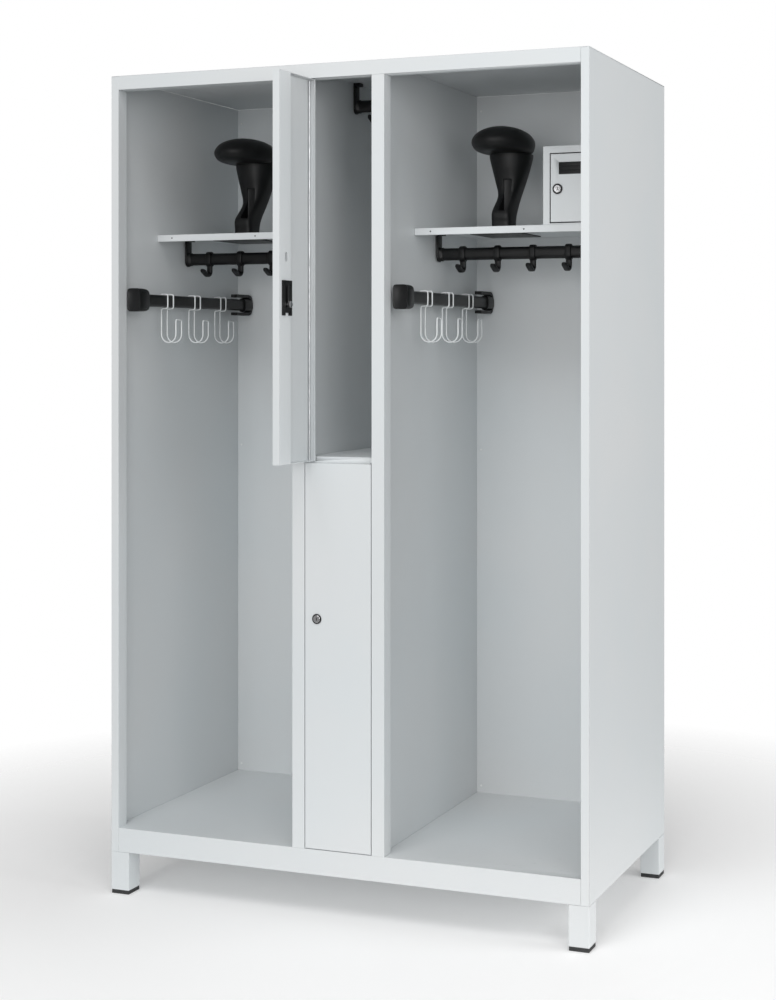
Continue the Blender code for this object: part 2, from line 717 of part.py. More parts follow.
def wire_hook(name, x, y, z, locker):
    """A double wire hook that wraps the side rail and ends in a J, both wires joined at the tips."""
    clear = WIRE_R + RUN
    near = x + TUBE_THICK / 2 + clear
    wall = x - TUBE_THICK / 2 - clear
    over = z + TUBE_TALL / 2 + clear
    under = z - TUBE_TALL / 2 - clear
    bottom = under - WIRE_DROP
    bend = WIRE_MOUTH / 2
    drop = [(wall, over - 0.010), (wall, over), (near, over), (near, under), (wall + 0.002, under - 0.001)]
    drop.append((wall + 0.002, bottom + bend))
    curl = arc((wall + 0.002 + bend, bottom + bend), bend, 180, 360, 5)[1:]
    tip = (wall + 0.002 + WIRE_MOUTH, bottom + WIRE_TIP)
    half = WIRE_SPREAD / 2
    one = [(px, y - half, pz) for px, pz in drop + curl + [tip]]
    two = [(px, y + half, pz) for px, pz in drop + curl + [tip]]
    path = rounded_path(one + two[::-1], 0.0045, 2)
    named(name, closed_wire(path, WIRE_R), WIRE, locker, (x, y, z), 60)


def side_rails(locker):
    for side, bay in BAYS.items():
        side_rail(side, bay, locker)
        front_grip(side, bay, locker)
        rear_claw(side, bay, locker)
        for i in range(WIRES_PER_RAIL):
            y = WIRE_FIRST + i * WIRE_PITCH
            wire_hook(f"{side}_wire_hook_{i + 1}", bay + SIDE_RAIL_X, y, SIDE_RAIL_Z, locker)


# ---------------------------------------------------------------- helmet stands

def oval(centre, wide, deep, z, squareness=2.0, sides=24):
    """A level ring between an ellipse and a rounded rectangle."""
    ring = []
    for i in range(sides):
        angle = 2 * math.pi * i / sides
        c, s = math.cos(angle), math.sin(angle)
        power = 2 / squareness
        ring.append((centre[0] + wide / 2 * math.copysign(abs(c) ** power, c),
                     centre[1] + deep / 2 * math.copysign(abs(s) ** power, s), z))
    return ring


def helmet_stand(side, bay, locker):
    """A leaning neck on a foot plate, a long domed head, and the plate under the shelf."""
    x, y, base = bay + STAND_X, STAND_Y, SHELF_TOP + GAP
    foot = box((x - STAND_FOOT[0] / 2, y - STAND_FOOT[1] / 2, base),
               (x + STAND_FOOT[0] / 2, y + STAND_FOOT[1] / 2, base + STAND_FOOT[2]))
    # height above the shelf, lean to the back, width, depth, squareness
    sections = ((0.002, 0.000, 0.049, 0.056, 5), (0.018, 0.000, 0.049, 0.056, 5),
                (0.044, 0.005, 0.049, 0.066, 5), (0.085, 0.040, 0.047, 0.066, 4),
                (0.120, 0.048, 0.068, 0.078, 3), (0.155, 0.051, 0.090, 0.098, 2.4),
                (0.178, 0.052, 0.103, 0.107, 2.2), (0.187, 0.052, 0.104, 0.108, 2.2))
    rings = [oval((x, y + lean), wide, deep, base + up, square)
             for up, lean, wide, deep, square in sections]
    neck = loft(rings)
    recess = box((x - 0.005, y - 0.040, base + 0.046), (x + 0.017, y + 0.012, base + 0.126))
    name = side + "_stand_neck"
    named(name, combined(name, foot, [neck], [recess]), BLACK, locker, round_angle=40)
    under = base + sections[-1][0] + GAP
    top = base + STAND_TALL
    # share of the height, width, depth, lean to the back
    rounds = ((0.00, 0.112, 0.182, 0.010), (0.10, 0.133, 0.199, 0.002), (0.30, 0.144, 0.207, -0.002),
              (0.50, 0.140, 0.202, -0.002), (0.72, 0.118, 0.174, -0.001), (0.88, 0.083, 0.126, 0.000),
              (0.97, 0.046, 0.072, 0.000), (1.00, 0.016, 0.026, 0.000))
    domes = [oval((x, y + lean), wide, deep, under + (top - under) * share)
             for share, wide, deep, lean in rounds]
    named(side + "_stand_head", loft(domes), BLACK, locker, round_angle=60)
    low = SHELF_TOP - SHEET - GAP
    plate_z = SHELF_TOP - SHEET - BACKING_DROP
    middle = y + BACKING_BACK
    plate = box((x - BACKING[0] / 2, middle - BACKING[1] / 2, plate_z - BACKING[2]),
                (x + BACKING[0] / 2, middle + BACKING[1] / 2, plate_z))
    boss = box((x - BACKING[0] / 4, middle - BACKING[1] / 4, plate_z - SHEET),
               (x + BACKING[0] / 4, middle + BACKING[1] / 4, low))
    name = side + "_stand_backing"
    named(name, combined(name, plate, [boss]), BLACK, locker)


# ---------------------------------------------------------------- lockable box

def box_lug_heights(low, high):
    return (low + BOX_LUG_IN, high - BOX_LUG_IN - BOX_LUG_T)


def lock_box(locker):
    right = WIDTH - SHEET - GAP
    left = right - BOX_WIDE
    low, high = SHELF_TOP + GAP, SHELF_TOP + GAP + BOX_TALL
    front = SHELF_SET_BACK + BOX_SET_BACK
    back = front + BOX_DEEP
    block = box((left, front, low), (right, back, high))
    room = box((left + BOX_SHEET, front + BOX_SHEET, low + BOX_SHEET),
               (right - BOX_SHEET, back - BOX_SHEET, high - BOX_SHEET))
    mouth = box((left + BOX_FRAME, front - SHEET, low + BOX_SILL),
                (right - BOX_FRAME, front + 2 * BOX_SHEET, high - BOX_FRAME))
    door_low, door_high = low + BOX_SILL + BOX_DOOR_GAP, high - BOX_FRAME - BOX_DOOR_GAP
    door_left, door_right = left + BOX_FRAME + BOX_DOOR_GAP, right - BOX_FRAME - BOX_DOOR_GAP
    pin = (door_right - BOX_PIN_IN, front + BOX_PIN_BACK)
    body = combined("body", block, [], [room, mouth])
    lugs = []
    lug_back = pin[1] + BOX_LUG_BACK
    for z in box_lug_heights(door_low, door_high):
        lugs.append(box((pin[0] - BOX_LUG_BACK, front + BOX_SHEET + 2 * GAP, z),
                        (right - BOX_FRAME, lug_back, z + BOX_LUG_T)))
        lugs.append(box((door_right + 4 * GAP, front + BOX_SHEET / 2, z - WELD),
                        (right - BOX_FRAME + 2 * BOX_SHEET, lug_back + WELD, z + BOX_LUG_T + WELD)))
    holes = [cylinder(pin, BOX_PIN_R + GAP, "z", door_low, door_high, 12)]
    named("lock_box_body", combined("lock_box_body", body, lugs, holes), STEEL, locker)
    return pin, front, (door_left, door_right, door_low, door_high)


def lock_box_door(locker, pin, front, span):
    left, right, low, high = span
    axis = empty("lock_box_axis", (*pin, 0), locker)
    left, right = left - pin[0], right - pin[0]
    face = front - pin[1]
    half = BOX_SHEET / 2
    tray = bent_sheet(
        [(left + half, face + BOX_DOOR_T), (left + half, face + half), (right - half, face + half)],
        "z", low, high, BOX_SHEET)
    slot_x = (left + right) / 2
    slot_high = high - BOX_SLOT_DOWN
    window = box((slot_x - BOX_SLOT[0] / 2, face - SHEET, slot_high - BOX_SLOT[1]),
                 (slot_x + BOX_SLOT[0] / 2, face + 2 * BOX_SHEET, slot_high))
    lock_at = (left + BOX_LOCK_IN * 0.5, high - BOX_LOCK_DOWN)
    hole = cylinder(lock_at, BARREL_R + GAP, "y", face - 0.01, face + 0.01)
    knuckles = []
    for z in (low + 0.008, high - 0.012):
        knuckle = box((-0.0032, face + half, z), (0.0032, 0.0034, z + 0.004))
        knuckles.append(knuckle)
    bore = cylinder((0, 0), BOX_PIN_R + GAP, "z", low - 0.01, high + 0.01, 12)
    # The edge of the door passes the fixed lugs as it swings.
    notches = []
    for z in box_lug_heights(low, high):
        notches.append(box((-BOX_PIN_BACK, face - SHEET, z - 2 * GAP),
                           (right + SHEET, face + 2 * BOX_SHEET, z + BOX_LUG_T + 2 * GAP)))
    name = "lock_box_door"
    named(name, combined(name, tray, knuckles, [window, hole, bore, *notches]), STEEL, axis)
    rod = cylinder(pin, BOX_PIN_R, "z", low + 0.003, high - 0.003, 12)
    named("lock_box_hinge_rod", rod, ZINC, locker, round_angle=40)
    x, z = lock_at
    bolt_y = face + BOX_DOOR_T + 2 * GAP
    core = cylinder(lock_at, BARREL_R, "y", face - GAP - ROSETTE_T * 0.5, bolt_y + BOX_SHEET / 2, 24)
    rosette = cylinder(lock_at, ROSETTE_R, "y", face - GAP - ROSETTE_T, face - GAP, 28)
    bolt = box((x - 0.005, bolt_y, z - BOX_BOLT), (x + 0.005, bolt_y + BOX_SHEET, z + 0.005))
    slot = box((x - KEY_SLOT[0] / 2, face - 0.01, z - KEY_SLOT[2] / 2),
               (x + KEY_SLOT[0] / 2, face + KEY_SLOT[1], z + KEY_SLOT[2] / 2))
    turning = combined("turning", core, [rosette, bolt], [slot])
    named("lock_box_lock", turning, CHROME, axis, (x, 0, z), 35)


# ---------------------------------------------------------------- feet

def square(low_x, low_y, size):
    return [(low_x, low_y), (low_x + size, low_y), (low_x + size, low_y + size), (low_x, low_y + size)]


def feet(locker):
    places = {
        "front_left": (0, 0), "front_right": (WIDTH - FOOT, 0),
        "rear_left": (0, DEPTH - FOOT), "rear_right": (WIDTH - FOOT, DEPTH - FOOT),
    }
    for corner, (x, y) in places.items():
        outer = square(x, y, FOOT)
        inner = square(x + FOOT_WALL, y + FOOT_WALL, FOOT - 2 * FOOT_WALL)
        tube = extrusion(outer, "z", GLIDE_TALL + GAP, LEG - GAP, inner)
        named(corner + "_foot", tube, STEEL, locker)
        sole = box((x + GLIDE_INSET, y + GLIDE_INSET, 0),
                   (x + FOOT - GLIDE_INSET, y + FOOT - GLIDE_INSET, GLIDE_TALL))
        inset = FOOT_WALL + GAP
        plug = box((x + inset, y + inset, GLIDE_TALL / 2),
                   (x + FOOT - inset, y + FOOT - inset, GLIDE_PLUG))
        name = corner + "_glide"
        named(name, combined(name, sole, [plug]), RUBBER, locker)


def build():
    clear_scene()
    locker = empty("locker_origin", ORIGIN)
    side_panels(locker)
    roof(locker)
    floor(locker)
    back_panel(locker)
    divider("left_divider", LEFT_WALL, LOCK_Z["lower"], 1, locker)
    divider("right_divider", RIGHT_WALL, LOCK_Z["upper"], -1, locker)
    middle_shelf(locker)
    hinge_rods(locker)
    middle_doors(locker)
    shelves_and_rails(locker)
    side_rails(locker)
    for side, bay in BAYS.items():
        helmet_stand(side, bay, locker)
    lock_box_door(locker, *lock_box(locker))
    feet(locker)


build()
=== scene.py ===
"""The looks of a fire-service wardrobe locker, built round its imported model."""
import json
import math

import bmesh
import bpy
from mathutils import Matrix, Vector

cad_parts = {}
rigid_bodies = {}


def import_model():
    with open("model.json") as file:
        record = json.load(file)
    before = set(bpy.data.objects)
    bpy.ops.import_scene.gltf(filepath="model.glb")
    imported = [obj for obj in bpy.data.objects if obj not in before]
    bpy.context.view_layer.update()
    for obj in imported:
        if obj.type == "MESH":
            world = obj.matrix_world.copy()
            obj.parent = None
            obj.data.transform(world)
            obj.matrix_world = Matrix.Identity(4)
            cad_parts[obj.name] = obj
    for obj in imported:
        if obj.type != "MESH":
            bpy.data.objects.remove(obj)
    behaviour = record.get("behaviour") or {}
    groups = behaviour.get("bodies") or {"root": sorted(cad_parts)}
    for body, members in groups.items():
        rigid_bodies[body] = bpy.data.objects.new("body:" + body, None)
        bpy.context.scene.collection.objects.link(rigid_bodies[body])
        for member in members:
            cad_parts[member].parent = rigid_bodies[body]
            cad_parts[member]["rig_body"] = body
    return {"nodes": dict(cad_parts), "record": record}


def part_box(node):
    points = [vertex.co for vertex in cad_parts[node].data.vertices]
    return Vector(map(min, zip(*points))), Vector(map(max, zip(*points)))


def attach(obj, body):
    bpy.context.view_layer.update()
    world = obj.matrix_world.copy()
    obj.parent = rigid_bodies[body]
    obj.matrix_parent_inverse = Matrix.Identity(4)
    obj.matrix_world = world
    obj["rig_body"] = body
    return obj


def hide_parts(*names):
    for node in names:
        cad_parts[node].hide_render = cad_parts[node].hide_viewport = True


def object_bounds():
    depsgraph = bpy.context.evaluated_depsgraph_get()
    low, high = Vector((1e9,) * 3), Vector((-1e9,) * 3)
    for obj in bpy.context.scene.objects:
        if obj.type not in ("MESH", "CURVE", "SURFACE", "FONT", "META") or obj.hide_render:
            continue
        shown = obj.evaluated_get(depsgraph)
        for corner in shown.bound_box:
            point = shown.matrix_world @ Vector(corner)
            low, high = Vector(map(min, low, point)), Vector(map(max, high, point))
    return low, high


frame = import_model()
cad_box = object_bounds()
NODES = frame["nodes"]
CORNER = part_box("roof")[0]  # left side and front plane of the locker

# Bends and rounded edges, in metres
BEND = 0.0008
LONG_EDGE = 0.09
CLEAR = 0.0003
FLOOR_REACH = 2.1

# Finishes
COAT = (0.665, 0.700, 0.715)
COAT_WARM = (0.690, 0.708, 0.715)
PLASTIC = (0.0042, 0.0045, 0.0048)
PLASTIC_LIGHT = (0.0085, 0.009, 0.0095)
PLASTIC_SHEEN = 0.3


# ---------------------------------------------------------------- shader groups

def new_group(name, inputs, outputs):
    """An empty shader group with float, colour or vector sockets."""
    tree = bpy.data.node_groups.new(name, "ShaderNodeTree")
    for label, kind, value in inputs:
        socket = tree.interface.new_socket(label, in_out="INPUT", socket_type="NodeSocket" + kind)
        if value is not None:
            socket.default_value = value
    for label, kind in outputs:
        tree.interface.new_socket(label, in_out="OUTPUT", socket_type="NodeSocket" + kind)
    start = tree.nodes.new("NodeGroupInput")
    end = tree.nodes.new("NodeGroupOutput")
    return tree, start, end


def noise(tree, vector, scale, detail=2.0, rough=0.5):
    node = tree.nodes.new("ShaderNodeTexNoise")
    node.inputs["Detail"].default_value = detail
    node.inputs["Roughness"].default_value = rough
    tree.links.new(vector, node.inputs["Vector"])
    if isinstance(scale, (int, float)):
        node.inputs["Scale"].default_value = scale
    else:
        tree.links.new(scale, node.inputs["Scale"])
    return node.outputs["Fac"]


def spread(tree, value, low, high, to_low, to_high):
    """A value moved from one range to another and held inside it."""
    node = tree.nodes.new("ShaderNodeMapRange")
    tree.links.new(value, node.inputs["Value"])
    for label, number in (("From Min", low), ("From Max", high), ("To Min", to_low), ("To Max", to_high)):
        node.inputs[label].default_value = number
    return node.outputs["Result"]


def maths(tree, operation, one, two):
    node = tree.nodes.new("ShaderNodeMath")
    node.operation = operation
    for socket, value in zip(node.inputs, (one, two)):
        if isinstance(value, (int, float)):
            socket.default_value = value
        else:
            tree.links.new(value, socket)
    return node.outputs[0]


def mixed(tree, factor, one, two):
    node = tree.nodes.new("ShaderNodeMix")
    node.data_type = "RGBA"
    tree.links.new(factor, node.inputs["Factor"])
    for socket, value in ((node.inputs["A"], one), (node.inputs["B"], two)):
        if isinstance(value, tuple):
            socket.default_value = (*value, 1)
        else:
            tree.links.new(value, socket)
    return node.outputs["Result"]


def orange_peel_group():
    """The fine pebbled skin of a sprayed or moulded surface: a height and slow tone patches."""
    tree, start, end = new_group(
        "surface_grain",
        [("Vector", "Vector", None), ("Grain Scale", "Float", 900.0), ("Patch Scale", "Float", 3.0)],
        [("Height", "Float"), ("Patches", "Float")])
    fine = noise(tree, start.outputs["Vector"], start.outputs["Grain Scale"], 2.0, 0.55)
    slow = noise(tree, start.outputs["Vector"], start.outputs["Patch Scale"], 3.0, 0.5)
    tree.links.new(spread(tree, fine, 0.3, 0.7, 0.0, 1.0), end.inputs["Height"])
    tree.links.new(spread(tree, slow, 0.3, 0.7, 0.0, 1.0), end.inputs["Patches"])
    return tree


def scuff_group():
    """Hair-fine rubbed marks, stretched along one direction, stronger in a few places."""
    tree, start, end = new_group(
        "rubbed_marks", [("Vector", "Vector", None), ("Amount", "Float", 0.5)], [("Mask", "Float")])
    stretch = tree.nodes.new("ShaderNodeMapping")
    stretch.inputs["Scale"].default_value = (9.0, 9.0, 160.0)
    stretch.inputs["Rotation"].default_value = (0.35, 0.9, 0.2)
    tree.links.new(start.outputs["Vector"], stretch.inputs["Vector"])
    lines = noise(tree, stretch.outputs["Vector"], 6.0, 3.0, 0.6)
    places = noise(tree, start.outputs["Vector"], 2.2, 1.0, 0.5)
    thin = spread(tree, lines, 0.63, 0.72, 0.0, 1.0)
    where = spread(tree, places, 0.48, 0.68, 0.0, 1.0)
    both = maths(tree, "MULTIPLY", thin, where)
    tree.links.new(maths(tree, "MULTIPLY", both, start.outputs["Amount"]), end.inputs["Mask"])
    return tree


GRAIN = orange_peel_group()
SCUFFS = scuff_group()


def new_material(name, roughness, metallic=0.0, coat=0.0):
    made = bpy.data.materials.new(name)
    made.use_nodes = True
    tree = made.node_tree
    shader = tree.nodes["Principled BSDF"]
    shader.inputs["Roughness"].default_value = roughness
    shader.inputs["Metallic"].default_value = metallic
    shader.inputs["Coat Weight"].default_value = coat
    place = tree.nodes.new("ShaderNodeTexCoord")
    return made, tree, shader, place.outputs["Object"]


def grained(tree, vector, grain_scale, patch_scale):
    node = tree.nodes.new("ShaderNodeGroup")
    node.node_tree = GRAIN
    node.inputs["Grain Scale"].default_value = grain_scale
    node.inputs["Patch Scale"].default_value = patch_scale
    tree.links.new(vector, node.inputs["Vector"])
    return node


def scuffed(tree, vector, amount):
    node = tree.nodes.new("ShaderNodeGroup")
    node.node_tree = SCUFFS
    node.inputs["Amount"].default_value = amount
    tree.links.new(vector, node.inputs["Vector"])
    return node.outputs["Mask"]


def bumped(tree, shader, height, strength, distance):
    node = tree.nodes.new("ShaderNodeBump")
    node.inputs["Strength"].default_value = strength
    node.inputs["Distance"].default_value = distance
    tree.links.new(height, node.inputs["Height"])
    tree.links.new(node.outputs["Normal"], shader.inputs["Normal"])


def powder_coat(name="powder_coated_steel", tones=(COAT, COAT_WARM)):
    """Light grey powder coat: faint orange peel, slow tone drift and a few rubbed marks."""
    made, tree, shader, place = new_material(name, 0.42)
    grain = grained(tree, place, 760.0, 2.4)
    colour = mixed(tree, grain.outputs["Patches"], *tones)
    marks = scuffed(tree, place, 0.35)
    colour = mixed(tree, marks, colour, tuple(0.86 * c for c in tones[0]))
    tree.links.new(colour, shader.inputs["Base Color"])
    rough = spread(tree, grain.outputs["Patches"], 0.0, 1.0, 0.40, 0.47)
    rough = maths(tree, "ADD", rough, maths(tree, "MULTIPLY", marks, 0.12))
    tree.links.new(rough, shader.inputs["Roughness"])
    bumped(tree, shader, grain.outputs["Height"], 0.12, 0.0004)
    return made


def moulded_plastic(name, dark=PLASTIC, light=PLASTIC_LIGHT, roughness=(0.36, 0.48), grain_scale=1500.0):
    """Black moulded plastic with a fine spark-eroded grain and duller rubbed places."""
    made, tree, shader, place = new_material(name, roughness[0])
    shader.inputs["Specular IOR Level"].default_value = PLASTIC_SHEEN
    grain = grained(tree, place, grain_scale, 14.0)
    marks = scuffed(tree, place, 0.6)
    colour = mixed(tree, grain.outputs["Patches"], dark, light)
    colour = mixed(tree, marks, colour, tuple(2.2 * c for c in light))
    tree.links.new(colour, shader.inputs["Base Color"])
    rough = spread(tree, grain.outputs["Patches"], 0.0, 1.0, *roughness)
    rough = maths(tree, "ADD", rough, maths(tree, "MULTIPLY", marks, 0.15))
    tree.links.new(rough, shader.inputs["Roughness"])
    bumped(tree, shader, grain.outputs["Height"], 0.22, 0.00025)
    return made


def bright_metal(name, colour, dull, roughness, scale=240.0):
    """Plated metal with fine turning marks and slightly clouded patches."""
    made, tree, shader, place = new_material(name, roughness[0], 1.0)
    wave = tree.nodes.new("ShaderNodeTexWave")
    wave.wave_type = "RINGS"
    wave.rings_direction = "Y"
    wave.inputs["Scale"].default_value = scale
    wave.inputs["Distortion"].default_value = 1.5
    tree.links.new(place, wave.inputs["Vector"])
    grain = grained(tree, place, 500.0, 60.0)
    tree.links.new(mixed(tree, grain.outputs["Patches"], colour, dull), shader.inputs["Base Color"])
    tree.links.new(spread(tree, grain.outputs["Patches"], 0.0, 1.0, *roughness), shader.inputs["Roughness"])
    bumped(tree, shader, wave.outputs["Fac"], 0.06, 0.0001)
    return made


def coated_wire(name="coated_wire"):
    """White plastic-dipped wire, glossy, a little uneven where the coating ran."""
    made, tree, shader, place = new_material(name, 0.3, 0.0, 0.3)
    grain = grained(tree, place, 420.0, 35.0)
    tree.links.new(mixed(tree, grain.outputs["Patches"], (0.74, 0.77, 0.78), (0.80, 0.82, 0.82)),
                   shader.inputs["Base Color"])
    tree.links.new(spread(tree, grain.outputs["Patches"], 0.0, 1.0, 0.24, 0.36), shader.inputs["Roughness"])
    bumped(tree, shader, grain.outputs["Height"], 0.15, 0.0003)
    return made


def rubber(name="black_rubber"):
    """Matt rubber with dust held in its pores."""
    made, tree, shader, place = new_material(name, 0.8)
    grain = grained(tree, place, 1100.0, 40.0)
    tree.links.new(mixed(tree, grain.outputs["Patches"], (0.020, 0.021, 0.022), (0.042, 0.043, 0.044)),
                   shader.inputs["Base Color"])
    tree.links.new(spread(tree, grain.outputs["Patches"], 0.0, 1.0, 0.68, 0.86), shader.inputs["Roughness"])
    bumped(tree, shader, grain.outputs["Height"], 0.4, 0.0004)
    return made


STEEL = powder_coat()
BLACK = moulded_plastic("black_moulded_plastic")
SATIN_BLACK = moulded_plastic(
    "black_coated_tube", (0.0045, 0.0048, 0.005), (0.007, 0.0074, 0.0078), (0.30, 0.38), 620.0)
PAD = moulded_plastic("soft_black_pad", (0.0045, 0.0048, 0.005), (0.008, 0.0083, 0.0086), (0.42, 0.52), 900.0)
# The rivet heads are coloured paler than the coat: painted highlight standing in for the glint on their domed
# heads.
RIVET_PAINT_AND_HIGHLIGHT = powder_coat("rivet_paint_with_painted_highlight", ((0.80, 0.82, 0.82), (0.86, 0.87, 0.87)))
CHROME = bright_metal("bright_nickel", (0.74, 0.74, 0.75), (0.62, 0.62, 0.63), (0.12, 0.24))
ZINC = bright_metal("zinc_plate", (0.58, 0.59, 0.60), (0.47, 0.48, 0.49), (0.28, 0.42))
WIRE = coated_wire()
RUBBER = rubber()
FINISH = {
    "grey_steel": STEEL, "black_plastic": BLACK, "chrome": CHROME,
    "hook_wire": WIRE, "zinc_steel": ZINC, "rubber": RUBBER,
}
SLOT_OF = {part["node"]: part["material_slot"] for part in frame["record"]["subparts"]}


# ---------------------------------------------------------------- pieces

def body_of(node):
    return NODES[node]["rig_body"]


def place_piece(piece, body, material, stands_for=()):
    """Give a finished piece its material and its body, and hide what it stands for."""
    piece.data.materials.clear()
    piece.data.materials.append(material)
    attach(piece, body)
    if stands_for:
        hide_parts(*stands_for)
    return piece


def linked(name, mesh):
    piece = bpy.data.objects.new(name, mesh)
    bpy.context.scene.collection.objects.link(piece)
    return piece


def plain(piece):
    """The piece with its modifiers turned into mesh."""
    bpy.context.view_layer.update()
    seen = piece.evaluated_get(bpy.context.evaluated_depsgraph_get())
    mesh = bpy.data.meshes.new_from_object(seen, preserve_all_data_layers=True,
                                           depsgraph=bpy.context.evaluated_depsgraph_get())
    piece.modifiers.clear()
    piece.data = mesh
    return piece


def rounded(node, width, shortest=0.0, segments=2, corner=35, smooth=40, material=None):
    """A copy of a node with its triangles merged to flat faces and its sharp edges rounded."""
    shape = bmesh.new()
    shape.from_mesh(NODES[node].data)
    bmesh.ops.remove_doubles(shape, verts=shape.verts, dist=0.00001)
    bmesh.ops.dissolve_limit(shape, angle_limit=math.radians(0.5), verts=shape.verts, edges=shape.edges)
    weights = shape.edges.layers.float.new("bevel_weight_edge")
    sharp = math.radians(corner)
    for edge in shape.edges:
        if edge.is_manifold and edge.calc_face_angle(0) > sharp and edge.calc_length() > shortest:
            edge[weights] = 1.0
    mesh = bpy.data.meshes.new(node + "_finished")
    shape.to_mesh(mesh)
    shape.free()
    mesh.shade_smooth()
    mesh.set_sharp_from_angle(angle=math.radians(smooth))
    piece = linked(node + "_finished", mesh)
    bevel = piece.modifiers.new("rounding", "BEVEL")
    bevel.limit_method = "WEIGHT"
    bevel.width = width
    bevel.segments = segments
    bevel.harden_normals = True
    bevel.use_clamp_overlap = True
    plain(piece)
    slot = SLOT_OF[node]
    return place_piece(piece, body_of(node), material or FINISH[slot], [node])


def sheet_metal():
    """The folded steel sheets, with the soft outer corners that a press brake leaves."""
    carcass = ["left_side_panel", "right_side_panel", "roof", "floor", "left_divider",
               "right_divider", "middle_shelf", "left_hat_shelf", "right_hat_shelf"]
    for node in carcass:
        rounded(node, BEND, LONG_EDGE, 3)
    for node in ("upper_door", "lower_door", "lock_box_door", "lock_box_body"):
        rounded(node, BEND * 0.75, 0.04, 3)
    for node in NODES:
        if node.endswith("_foot"):
            rounded(node, 0.0016, 0.03, 3)
        elif node.endswith("_glide"):
            rounded(node, 0.0012, 0.0, 3)


def moulded_parts():
    for node in NODES:
        if node.endswith("_claw"):
            rounded(node, 0.0022, 0.0, 3, 50, 60)
        elif node.endswith("_shelf_rail") or node == "middle_rail":
            rounded(node, 0.0008, 0.0, 2, 50, 60, SATIN_BLACK)
        elif node.endswith("_side_rail"):
            rounded(node, 0.0003, 0.0, 1, 60, 60, SATIN_BLACK)
        elif node.endswith("_stand_backing") or node.endswith("lock_case"):
            rounded(node, 0.0006, 0.0, 2, 50, 50)


def metal_parts():
    rounded("lock_box_lock", 0.0004, 0.0, 2, 50, 50)


# ---------------------------------------------------------------- lofted and swept pieces

def at(x, y, z):
    """A point of the locker, from its left side, front plane and the floor."""
    return Vector((CORNER.x + x, CORNER.y + y, z))


def oval(centre, wide, deep, z, squareness, sides=72):
    """A level ring between an ellipse and a rounded rectangle."""
    ring = []
    power = 2 / squareness
    for i in range(sides):
        angle = 2 * math.pi * i / sides
        c, s = math.cos(angle), math.sin(angle)
        ring.append(Vector((centre[0] + wide / 2 * math.copysign(abs(c) ** power, c),
                            centre[1] + deep / 2 * math.copysign(abs(s) ** power, s), z)))
    return ring


def stadium(centre, across, tall, steps=20):
    """A flat oval outline as (across, up) pairs."""
    radius = across / 2
    rise = max(0.0, tall / 2 - radius)
    outline = []
    for i in range(2 * steps):
        angle = math.pi * i / steps
        lift = rise if i < steps else -rise
        outline.append((centre[0] + radius * math.cos(angle), centre[1] + lift + radius * math.sin(angle)))
    return outline


def between(rows, steps):
    """Rows of numbers with smooth in-between rows, by a Catmull-Rom curve through them."""
    made = []
    last = len(rows) - 1
    for i in range(last):
        a, b, c, d = (rows[max(0, min(last, i + k))] for k in (-1, 0, 1, 2))
        for step in range(steps):
            t = step / steps
            made.append(tuple(
                0.5 * (2 * q + (r - p) * t + (2 * p - 5 * q + 4 * r - s) * t * t
                       + (3 * q - p - 3 * r + s) * t ** 3)
                for p, q, r, s in zip(a, b, c, d)))
    made.append(tuple(rows[-1]))
    return made


def finished_mesh(name, shape, smooth):
    bmesh.ops.recalc_face_normals(shape, faces=shape.faces)
    mesh = bpy.data.meshes.new(name)
    shape.to_mesh(mesh)
    shape.free()
    mesh.shade_smooth()
    mesh.set_sharp_from_angle(angle=math.radians(smooth))
    return linked(name, mesh)


def skin(name, rings, smooth=50, closed=False):
    """A skin through rings of as many points each; open runs get their ends capped."""
    shape = bmesh.new()
    loops = [[shape.verts.new(point) for point in ring] for ring in rings]
    count = len(loops[0])
    pairs = list(zip(loops, loops[1:]))
    if closed:
        pairs.append((loops[-1], loops[0]))
    for low, high in pairs:
        for i in range(count):
            j = (i + 1) % count
            shape.faces.new((low[i], low[j], high[j], high[i]))
    if not closed:
        shape.faces.new(loops[0])
        shape.faces.new(loops[-1])
    return finished_mesh(name, shape, smooth)


def joined(name, pieces):
    """Several pieces as one mesh."""
    shape = bmesh.new()
    for piece in pieces:
        shape.from_mesh(piece.data)
        bpy.data.objects.remove(piece, do_unlink=True)
    mesh = bpy.data.meshes.new(name)
    shape.to_mesh(mesh)
    shape.free()
    return linked(name, mesh)


def soft_box(name, low, high, width, segments=3):
    """A block with rounded edges."""
    shape = bmesh.new()
    size = [h - l for l, h in zip(low, high)]
    middle = [(l + h) / 2 for l, h in zip(low, high)]
    matrix = Matrix.Translation(middle) @ Matrix.Diagonal((*size, 1))
    bmesh.ops.create_cube(shape, size=1, matrix=matrix)
    bmesh.ops.bevel(shape, geom=list(shape.edges), offset=width, segments=segments, profile=0.5,
                    affect="EDGES", clamp_overlap=True)
    return finished_mesh(name, shape, 60)


def disc(name, centre, direction, profile, sides=48):
    """A turned part: (distance along the direction, radius) pairs round an axis."""
    turn = Vector((0, 0, 1)).rotation_difference(Vector(direction)).to_matrix()
    rings = []
    for along, radius in profile:
        rings.append([Vector(centre) + turn @ Vector((radius * math.cos(2 * math.pi * i / sides),
                                                      radius * math.sin(2 * math.pi * i / sides), along))
                      for i in range(sides)])
    return skin(name, rings, 35)


def cut(piece, cutter):
    """The piece with the cutter's room taken out of it."""
    boolean = piece.modifiers.new("cut", "BOOLEAN")
    boolean.operation = "DIFFERENCE"
    boolean.solver = "EXACT"
    boolean.object = cutter
    plain(piece)
    bpy.data.objects.remove(cutter, do_unlink=True)
    return piece


def eased(piece, width, angle=40, segments=2):
    """The piece with every edge sharper than the angle rounded."""
    bevel = piece.modifiers.new("easing", "BEVEL")
    bevel.limit_method = "ANGLE"
    bevel.angle_limit = math.radians(angle)
    bevel.width = width
    bevel.segments = segments
    bevel.harden_normals = True
    plain(piece)
    return piece


# ---------------------------------------------------------------- helmet stands

